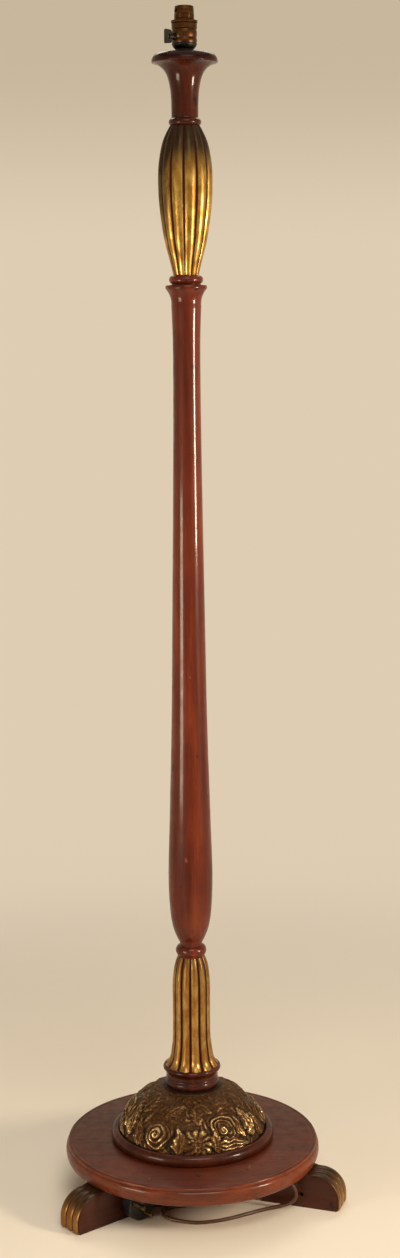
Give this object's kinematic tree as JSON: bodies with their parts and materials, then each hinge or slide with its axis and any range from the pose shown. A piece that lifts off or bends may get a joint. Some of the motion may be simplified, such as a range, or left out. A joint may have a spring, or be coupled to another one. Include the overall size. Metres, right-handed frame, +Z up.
{
  "type": "candlestick floor lamp",
  "caption": "Floor lamp with a turned candlestick stem, reeded gilt bulb and column, carved dome on a round plinth, scroll feet, switched bayonet lampholder and flex with plug.",
  "frame": {"origin": "on the floor, under the stem's axis", "axes": "+Z up along the stem, -Y towards the front, +X to the right seen from the front"},
  "size_m": [0.3924, 0.3974, 1.6092],
  "materials": {
    "mahogany": "french polished, worn",
    "gilded_wood": "antiqued gilding with dark red ground in the grooves",
    "bronzed_gilding": "bronzed with rubbed gilt high points",
    "holder_brass": "aged, coppery brown",
    "blackened_brass": "blackened",
    "contact_brass": "clean",
    "pin_brass": "polished",
    "screw_steel": "dull",
    "spring_steel": "bright",
    "white_porcelain": "glazed porcelain",
    "cam_plastic": "moulded",
    "black_rubber": "matt",
    "flex_sheath": "brown sheath",
    "plug_black": "moulded, semi-gloss"
  },
  "bodies": {
    "stand": {"plinth_disc": "mahogany", "foot_back": "mahogany", "foot_front_left": "mahogany", "foot_right": "mahogany", "foot_screws": "screw_steel", "carved_dome": "bronzed_gilding", "dome_ring": "mahogany", "dome_screws": "screw_steel", "column_ring": "mahogany", "reeded_column": "gilded_wood", "turned_shaft": "mahogany", "reeded_bulb": "gilded_wood", "candle_cup": "mahogany", "inner_flex": "flex_sheath", "flex_saddles": "holder_brass", "saddle_screws": "screw_steel", "flex_sleeve": "black_rubber", "wood_nipple": "holder_brass", "holder_cap": "blackened_brass", "switch_housing": "holder_brass", "holder_shell": "holder_brass", "porcelain_core": "white_porcelain", "terminals": "contact_brass", "plunger_spring_a": "spring_steel", "plunger_spring_b": "spring_steel", "key_bush": "blackened_brass", "lock_screw": "holder_brass", "lead_run": "flex_sheath", "lead_coil": "flex_sheath", "lead_tail": "flex_sheath", "plug_base": "plug_black", "plug_cover": "plug_black", "plug_pins": "pin_brass", "plug_screw": "screw_steel", "plug_sleeve": "black_rubber"},
    "key": {"switch_key": "blackened_brass", "key_spindle": "contact_brass", "switch_cam": "cam_plastic"},
    "plunger_a": {"contact_plunger_a": "contact_brass"},
    "plunger_b": {"contact_plunger_b": "contact_brass"},
    "ring": {"shade_ring": "holder_brass"}
  },
  "joints": [
    {"name": "key_turn", "type": "hinge", "parent": "stand", "child": "key", "pos_m": [0, 0, 1.56991], "axis": [-0.8192, -0.5736, 0], "continuous": true},
    {"name": "plunger_a_press", "type": "slide", "parent": "stand", "child": "plunger_a", "axis": [0, 0, -1], "range_m": [0, 0.003], "stiffness_N_per_m": 1000, "springref_m": -0.001, "deforming": ["plunger_spring_a"]},
    {"name": "plunger_b_press", "type": "slide", "parent": "stand", "child": "plunger_b", "axis": [0, 0, -1], "range_m": [0, 0.003], "stiffness_N_per_m": 1000, "springref_m": -0.001, "deforming": ["plunger_spring_b"]},
    {"name": "shade_ring_turn", "type": "hinge", "parent": "stand", "child": "ring", "pos_m": [0, 0, 1.5894], "axis": [0, 0, 1], "continuous": true}
  ]
}
